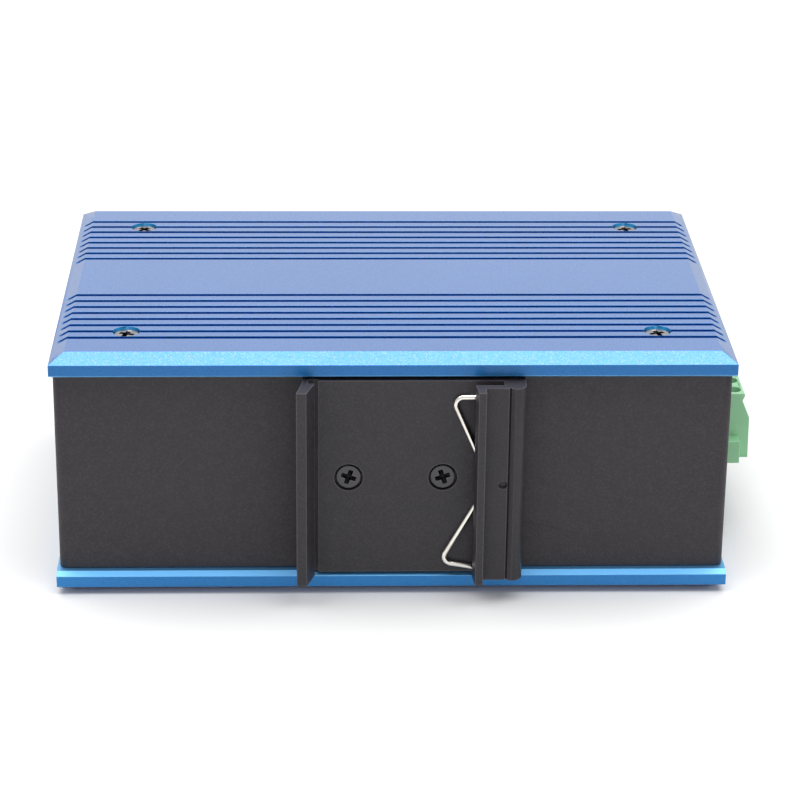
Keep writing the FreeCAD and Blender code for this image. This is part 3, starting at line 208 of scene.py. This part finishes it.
def anodised_blue():
    """Bead-blasted, blue anodised aluminium, with painted light and shade: lighter specks as painted glint
    highlights, darker specks as painted shade in the blasting pitting, upright faces inside the plate a
    brighter, deeper blue as painted light, the upper plate's lips darker as painted shade and the lower
    plate's lips lighter as painted light, lighter edges as painted highlight and wear, and the cut bevel
    paler as painted light.
    """
    f = Finish("anodised_blue")
    upright, lips, cut, upper = plate_masks(f)
    patches = f.spread(f.noise(0.02, 3.0, 0.55), 0.35, 0.65)
    tone = f.mix(patches, (0.034, 0.172, 0.47), (0.040, 0.186, 0.51))
    # Lighter specks: painted glint highlights on the blasted surface.
    painted_glints = f.spread(f.noise(0.00036, 2.0, 0.7), 0.50, 0.68)
    tone = f.mix(painted_glints, tone, (0.14, 0.215, 0.56))
    # Darker specks: painted shade in the blasting pitting. The same mask also varies the tones below.
    pit_shade = f.spread(f.noise(0.0003, 2.0, 0.7), 0.30, 0.52)
    blasted = f.mix(pit_shade, (0.024, 0.125, 0.41), tone)
    # Upright faces inside the plate are a brighter, deeper blue: painted light in the grooves.
    groove_painted_light = f.mix(pit_shade, (0.0, 0.27, 0.54), (0.0, 0.33, 0.68))
    # The lower plate's lips are a lighter blue, painted light; the upper plate's lips a darker blue, painted
    # shade.
    lower_lip_painted_light = f.mix(pit_shade, (0.010, 0.17, 0.44), (0.014, 0.21, 0.54))
    upper_lip_painted_shade = f.mix(pit_shade, (0.0, 0.10, 0.29), (0.0, 0.135, 0.39))
    # The blue tone, with the painted light and shade on the upright faces and lips.
    dye_and_painted_light = f.mix(upright, blasted, f.mix(lips, groove_painted_light, f.mix(upper, lower_lip_painted_light, upper_lip_painted_shade)))
    # Lighter edges: painted edge highlight, and edge wear.
    edge_highlight_and_wear = f.mix(f.maths("MULTIPLY", f.edges(0.0003), 0.6), dye_and_painted_light, (0.16, 0.42, 0.72))
    # The cut bevel is a paler blue: painted light.
    f.colour(f.mix(cut, edge_highlight_and_wear, (0.14, 0.44, 0.78)))
    grain = f.spread(f.noise(0.0012, 3.0, 0.6), 0.3, 0.7, 0.26, 0.36)
    matt = f.maths("MULTIPLY", f.maths("MAXIMUM", cut, lips), MATT)
    f.roughness(f.maths("MAXIMUM", grain, matt))
    f.bump(f.noise(0.00034, 2.0, 0.6), 0.000012, 0.7)
    f.set(Metallic=1.0, Coat_Weight=1.0, Coat_Roughness=0.28, Coat_IOR=1.45)
    return f.material


def textured_black(name, tone, grain, relief, rough, sheen, wear_and_edge_highlight):
    """Black finish with a fine grain, lighter on its edges as painted highlight and wear: powder coat, or
    blasted anodising.
    """
    f = Finish(name)
    patches = f.spread(f.noise(0.03, 3.0, 0.6), 0.35, 0.65)
    lighter = tuple(c * 1.12 for c in tone)
    base = f.mix(patches, tone, lighter)
    specks = f.spread(f.noise(grain, 2.0, 0.65), 0.45, 0.75)
    grained = f.mix(specks, base, tuple(c * 1.7 for c in tone))
    # Lighter edges: painted edge highlight, and edge wear.
    f.colour(f.mix(f.edges(0.0004), grained, tuple(c * wear_and_edge_highlight for c in tone)))
    f.roughness(f.spread(f.noise(grain * 6, 2.0, 0.5), 0.3, 0.7, rough - 0.05, rough + 0.05))
    coarse = f.bump(f.noise(grain * 3, 2.0, 0.5), relief, 0.35)
    f.bump(f.noise(grain, 2.0, 0.6), relief, 0.6, over=coarse)
    f.set(Metallic=0.0, Specular_IOR_Level=sheen)
    return f.material


def bright_metal(name, tone, rough, streak=(1.0, 1.0, 1.0), wear_and_edge_highlight=0.15):
    """Plated or bare metal with fine scratches, streaked along the axis scaled least."""
    f = Finish(name)
    stains = f.spread(f.noise(0.004, 4.0, 0.65), 0.35, 0.75)
    f.colour(f.mix(stains, tone, tuple(c * (1.0 - wear_and_edge_highlight) for c in tone)))
    lines = f.noise(0.0004, 3.0, 0.6, f.stretched(streak))
    f.roughness(f.spread(lines, 0.3, 0.7, rough - 0.06, rough + 0.08))
    f.bump(lines, 0.00001, 0.35)
    f.set(Metallic=1.0)
    return f.material


def moulded(name, tone, rough, light_through=0.0, grain=0.0004, relief=0.00002):
    """Moulded plastic with a fine spark-eroded texture."""
    f = Finish(name)
    cloud = f.spread(f.noise(0.006, 3.0, 0.6), 0.3, 0.7)
    f.colour(f.mix(cloud, tuple(c * 0.92 for c in tone), tone))
    f.roughness(f.spread(f.noise(grain * 4, 2.0, 0.5), 0.3, 0.7, rough - 0.04, rough + 0.06))
    f.bump(f.noise(grain, 2.0, 0.6), relief, 0.45)
    f.set(Subsurface_Weight=light_through)
    f.shader.inputs["Subsurface Radius"].default_value = (0.6, 1.0, 0.5)
    f.shader.inputs["Subsurface Scale"].default_value = 0.0012
    return f.material


def circuit_green():
    """Solder mask over copper tracks and pads."""
    f = Finish("circuit_green")
    node = f.add("ShaderNodeTexBrick")
    f.link(f.place, node.inputs["Vector"])
    node.inputs["Scale"].default_value = 260.0
    node.inputs["Mortar Size"].default_value = 0.018
    node.inputs["Color1"].default_value = (0.010, 0.100, 0.040, 1.0)
    node.inputs["Color2"].default_value = (0.014, 0.125, 0.050, 1.0)
    node.inputs["Mortar"].default_value = (0.030, 0.190, 0.080, 1.0)
    cloud = f.spread(f.noise(0.01, 3.0, 0.6), 0.3, 0.7)
    f.colour(f.mix(cloud, node.outputs["Color"], (0.012, 0.115, 0.045)))
    f.roughness(f.spread(f.noise(0.002, 2.0, 0.5), 0.3, 0.7, 0.28, 0.4))
    f.bump(node.outputs["Fac"], 0.00002, 0.5)
    return f.material


def lamp_lens():
    """Diffused green lamp."""
    f = Finish("lamp_lens")
    cloud = f.spread(f.noise(0.0015, 2.0, 0.5), 0.3, 0.7)
    f.colour(f.mix(cloud, (0.28, 0.56, 0.24), (0.36, 0.66, 0.30)))
    f.bump(f.noise(0.0006, 2.0, 0.5), 0.000008, 0.3)
    f.set(Roughness=0.16, Subsurface_Weight=0.35, Coat_Weight=0.5, Coat_Roughness=0.05)
    f.shader.inputs["Subsurface Scale"].default_value = 0.002
    return f.material


FINISHES = {
    "blue_plate": anodised_blue(),
    # The last number of each black finish lightens its edges: painted edge highlight, and wear.
    "black_case": textured_black("powder_black", (0.023, 0.020, 0.0235), 0.00042, 0.00006, 0.56, 0.36, 4.0),
    "black_clip": textured_black("blasted_black", (0.021, 0.019, 0.0225), 0.00042, 0.00008, 0.46, 0.34, 4.5),
    "bright_screw": bright_metal("nickel_screw", (0.37, 0.33, 0.325), 0.34),
    "black_screw": textured_black("oxide_black", (0.026, 0.024, 0.028), 0.0003, 0.00001, 0.34, 0.6, 4.0),
    "plated_steel": bright_metal("zinc_steel", (0.60, 0.60, 0.58), 0.34, (1.0, 1.0, 0.15)),
    "spring_wire": bright_metal("drawn_wire", (0.86, 0.82, 0.76), 0.18, (1.0, 1.0, 0.08), 0.25),
    "circuit_board": circuit_green(),
    "chip_black": moulded("chip_epoxy", (0.024, 0.024, 0.025), 0.5),
    "can_metal": bright_metal("can_aluminium", (0.72, 0.72, 0.71), 0.32, (1.0, 1.0, 0.1)),
    "ferrite": moulded("ferrite_grey", (0.06, 0.06, 0.062), 0.55, 0.0, 0.0003, 0.00003),
    "green_plastic": moulded("terminal_green", (0.25, 0.53, 0.295), 0.40, 0.12),
    "tinned_contact": bright_metal("tinned", (0.70, 0.70, 0.67), 0.30, (0.2, 1.0, 1.0)),
    "gold_contact": bright_metal("gold_flash", (0.78, 0.53, 0.18), 0.24, (1.0, 0.1, 1.0)),
    "soft_pad": moulded("silicone_pad", (0.42, 0.46, 0.54), 0.7, 0.0, 0.0006, 0.00005),
    "bare_aluminium": bright_metal("milled_aluminium", (0.70, 0.70, 0.71), 0.30, (0.1, 1.0, 1.0)),
    "black_plastic": moulded("moulded_black", (0.020, 0.020, 0.021), 0.42),
    "lamp_green": lamp_lens(),
    "port_metal": bright_metal("nickel_sheet", (0.66, 0.65, 0.62), 0.26, (1.0, 0.12, 1.0)),
}


# ---------------------------------------------------------------- the CAD nodes


# Radius of the rounded edges in millimetres, and the nodes whose flat faces are joined up first.
SOFTENED = {
    "side_plate_upper": 0.3, "side_plate_lower": 0.3, "front_panel": 0.18, "rear_shell": 0.3,
    "rail_clip": 0.2, "terminal_plug": 0.28, "terminal_header": 0.1,
    "earth_washer": 0.08, "earth_nut": 0.1,
}
JOINED = ("front_panel",)
SAME_PLACE = 0.001 * MM
SHARP = math.radians(28)


def soften(obj, width):
    """Round the sharp edges of a CAD node with modifiers, its mesh left as it is."""
    weld = obj.modifiers.new("weld", "WELD")
    weld.merge_threshold = SAME_PLACE
    if obj.name in JOINED:
        flat = obj.modifiers.new("flat", "DECIMATE")
        flat.decimate_type = "DISSOLVE"
        flat.angle_limit = math.radians(0.5)
    bevel = obj.modifiers.new("soften", "BEVEL")
    bevel.width = width * MM
    bevel.segments = 2
    bevel.limit_method = "ANGLE"
    bevel.angle_limit = SHARP
    bevel.use_clamp_overlap = True
    bevel.harden_normals = True


for entry in frame["record"]["subparts"]:
    obj = nodes[entry["node"]]
    finish = FINISHES[entry["material_slot"]]
    obj.data.materials.clear()
    obj.data.materials.append(finish)
for name, width in SOFTENED.items():
    soften(nodes[name], width)


# ---------------------------------------------------------------- cross-recess screws


CORNERS = 72                # around a screw
ARM_REACH = 0.62            # the recess's arm, of the head's radius
ARM_HALF_WIDTH = 0.20
RIM = 0.1                   # the head's rounded rim, of its radius
RIM_ROWS = 5
RECESS_DEPTH = 0.72         # of the head's height
# The recess from its floor to the head's face, as shares of its arm and depth.
RECESS_ROWS = ((0.0, 1.0), (0.30, 0.95), (0.62, 0.55), (1.0, 0.06), (1.06, 0.0))
SHADED_ROWS = 3             # bands of the recess in the painted shade
THREAD_PITCH = 0.5 * MM
THREAD_DEPTH = 0.6          # of the pitch
THREAD_ROWS = 6             # in each turn
# The recess finish is near black: painted shade in the cross recess.
RECESS = textured_black("recess_shade", (0.002, 0.002, 0.002), 0.0003, 0.00001, 0.3, 0.1, 1.0)


def steady(radius, angle):
    """The same radius at every angle."""
    return radius


def cross_reach(angle, arm, half_width):
    """How far a cross of four arms reaches from its middle at an angle."""
    off_arm = (angle + math.pi / 4) % (math.pi / 2) - math.pi / 4
    if abs(off_arm) < 1e-6:
        return arm
    return min(arm / math.cos(off_arm), half_width / abs(math.sin(off_arm)))


def thread_reach(angle, height, radius):
    """The radius of a cut thread at an angle and a height."""
    turn = (height / THREAD_PITCH + angle / math.tau) % 1.0
    return radius - THREAD_DEPTH * THREAD_PITCH * abs(2.0 * turn - 1.0)


def screw_rings(head_radius, head_height, thread_radius, length):
    """A screw's rings, from the recess floor over the head and down the thread: radius by angle, height."""
    arm = ARM_REACH * head_radius
    width = ARM_HALF_WIDTH * head_radius
    rim = RIM * head_radius
    rings = []
    for share, depth in RECESS_ROWS:
        reach = partial(cross_reach, arm=arm * share, half_width=width * (0.35 + 0.65 * share))
        rings.append((reach, head_height * (1.0 - RECESS_DEPTH * depth)))
    for step in range(RIM_ROWS):
        turn = step * math.pi / 2 / (RIM_ROWS - 1)
        radius = head_radius - rim * (1.0 - math.sin(turn))
        rings.append((partial(steady, radius), head_height - rim * (1.0 - math.cos(turn))))
    rings.append((partial(steady, head_radius), 0.0))
    rings.append((partial(steady, thread_radius), 0.0))
    count = int(length / THREAD_PITCH * THREAD_ROWS)
    for step in range(1, count + 1):
        height = -length * step / count
        rings.append((partial(thread_reach, height=height, radius=thread_radius), height))
    return rings


def cross_screws(name, node, slot, places, facing, spins, sizes):
    """Screws with a tapered cross recess and a cut thread, in place of a CAD node's plainer ones."""
    rings = screw_rings(*sizes)
    mesh = bpy.data.meshes.new(name)
    build = bmesh.new()
    turn = Vector(facing).to_track_quat("Z", "Y").to_matrix()
    for place, spin in zip(places, spins):
        rows = []
        for reach, height in rings:
            row = []
            for step in range(CORNERS):
                angle = math.tau * step / CORNERS
                radius = max(reach(angle), 1e-6)
                spun = angle + math.radians(spin)
                point = Vector((radius * math.cos(spun), radius * math.sin(spun), height))
                row.append(build.verts.new(Vector(place) + turn @ point))
            rows.append(row)
        for index in range(len(rows) - 1):
            for step in range(CORNERS):
                after = (step + 1) % CORNERS
                inner, outer = rows[index], rows[index + 1]
                face = build.faces.new((inner[step], outer[step], outer[after], inner[after]))
                # The recess's first bands and its floor take the painted shade.
                face.material_index = 1 if index < SHADED_ROWS else 0
        floor_face = build.faces.new(rows[0])
        floor_face.material_index = 1
        build.faces.new(list(reversed(rows[-1])))
    bmesh.ops.recalc_face_normals(build, faces=build.faces)
    build.to_mesh(mesh)
    build.free()
    mesh.shade_smooth()
    mesh.set_sharp_from_angle(angle=math.radians(40))
    mesh.materials.append(FINISHES[slot])
    mesh.materials.append(RECESS)
    obj = bpy.data.objects.new(name, mesh)
    bpy.context.scene.collection.objects.link(obj)
    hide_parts(node)
    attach(obj, "case")


PLATE_HEAD = (2.5 * MM, 1.7 * MM)       # radius, height
CLIP_HEAD = (2.45 * MM, 1.1 * MM)
THREAD_RADIUS = 1.5 * MM


def plate_screws(side, facing, spins):
    """The four screws of one side plate."""
    node = f"{side}_plate_screws"
    low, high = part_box(node)
    radius, height = PLATE_HEAD
    top = high[2] if facing > 0 else low[2]
    seat = top - facing * height
    length = high[2] - low[2] - height
    places = [
        (x, y, seat)
        for y in (low[1] + radius, high[1] - radius)
        for x in (low[0] + radius, high[0] - radius)
    ]
    cross_screws(
        f"{side}_cross_screws", node, "bright_screw", places, (0, 0, facing), spins,
        (radius, height, THREAD_RADIUS, length))


def clip_screws(spins):
    """The two black screws in the rail clip."""
    low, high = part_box("clip_screws")
    radius, height = CLIP_HEAD
    level = (low[2] + high[2]) / 2
    places = [(x, low[1] + height, level) for x in (low[0] + radius, high[0] - radius)]
    cross_screws(
        "clip_cross_screws", "clip_screws", "black_screw", places, (0, -1, 0), spins,
        (radius, height, THREAD_RADIUS, high[1] - low[1] - height))


plate_screws("upper", 1, (70, 20, 47, 12))
plate_screws("lower", -1, (33, 58, 5, 81))
clip_screws((70, 20))


# ---------------------------------------------------------------- the spring


def rail_wire():
    """The rail spring's wire, whose ends the jaw holds, as a copy of the CAD node's mesh."""
    mesh = nodes["rail_spring"].data.copy()
    mesh.name = "rail_wire"
    obj = bpy.data.objects.new("rail_wire", mesh)
    bpy.context.scene.collection.objects.link(obj)
    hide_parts("rail_spring")
    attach(obj, "case")
    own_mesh(obj)


rail_wire()


# ---------------------------------------------------------------- floor, light, camera


def area_light(name, at, towards, size, power):
    """A white softbox at one point, turned towards another."""
    data = bpy.data.lights.new(name, "AREA")
    data.shape = "RECTANGLE"
    data.size = size[0]
    data.size_y = size[1]
    data.energy = power
    light = bpy.data.objects.new(name, data)
    light.location = at
    light.rotation_euler = (Vector(towards) - Vector(at)).to_track_quat("-Z", "Y").to_euler()
    bpy.context.scene.collection.objects.link(light)


def floor():
    """A wide sheet of pale paper."""
    mesh = bpy.data.meshes.new("studio_floor")
    half = 6.0
    corners = [(-half, -half, 0), (half, -half, 0), (half, half, 0), (-half, half, 0)]
    mesh.from_pydata(corners, [], [(0, 1, 2, 3)])
    obj = bpy.data.objects.new("studio_floor", mesh)
    bpy.context.scene.collection.objects.link(obj)
    f = Finish("studio_paper")
    cloud = f.spread(f.noise(0.5, 2.0, 0.5), 0.3, 0.7)
    f.colour(f.mix(cloud, (0.69, 0.69, 0.69), (0.71, 0.71, 0.71)))
    f.set(Roughness=0.9, Specular_IOR_Level=0.1)
    mesh.materials.append(f.material)


floor()
world = bpy.data.worlds.new("studio")
bpy.context.scene.world = world
world.use_nodes = True
world.node_tree.nodes["Background"].inputs["Color"].default_value = (1.0, 1.0, 1.0, 1.0)
world.node_tree.nodes["Background"].inputs["Strength"].default_value = 0.8
area_light("overhead", (0.0, 0.05, 1.0), (0.0, 0.05, 0.0), (1.6, 1.2), 19.0)
area_light("behind", (0.0, 1.6, 0.7), (0.0, 0.0, 0.05), (2.4, 1.0), 2.4)

# The camera's lens, place and turn come from a fit to the photograph's corners.
LENS = 123.91
CAMERA_AT = (-0.0153201, -0.5434053, 0.2509651)
PITCH = math.radians(-22.7179)
YAW = math.radians(1.8942)
ROLL = math.radians(0.6153)

camera_data = bpy.data.cameras.new("camera")
camera_data.sensor_width = 36.0
camera_data.lens = LENS
camera_data.clip_start = 0.01
camera = bpy.data.objects.new("camera", camera_data)
bpy.context.scene.collection.objects.link(camera)
aim = Vector((math.sin(YAW) * math.cos(PITCH), math.cos(YAW) * math.cos(PITCH), math.sin(PITCH)))
level = aim.cross(Vector((0, 0, 1))).normalized()
upright = level.cross(aim)
right = level * math.cos(ROLL) + upright * math.sin(ROLL)
up = upright * math.cos(ROLL) - level * math.sin(ROLL)
turned = Matrix((right, up, -aim)).transposed().to_4x4()
camera.matrix_world = Matrix.Translation(CAMERA_AT) @ turned
bpy.context.scene.camera = camera
bpy.context.scene.view_settings.view_transform = "Standard"
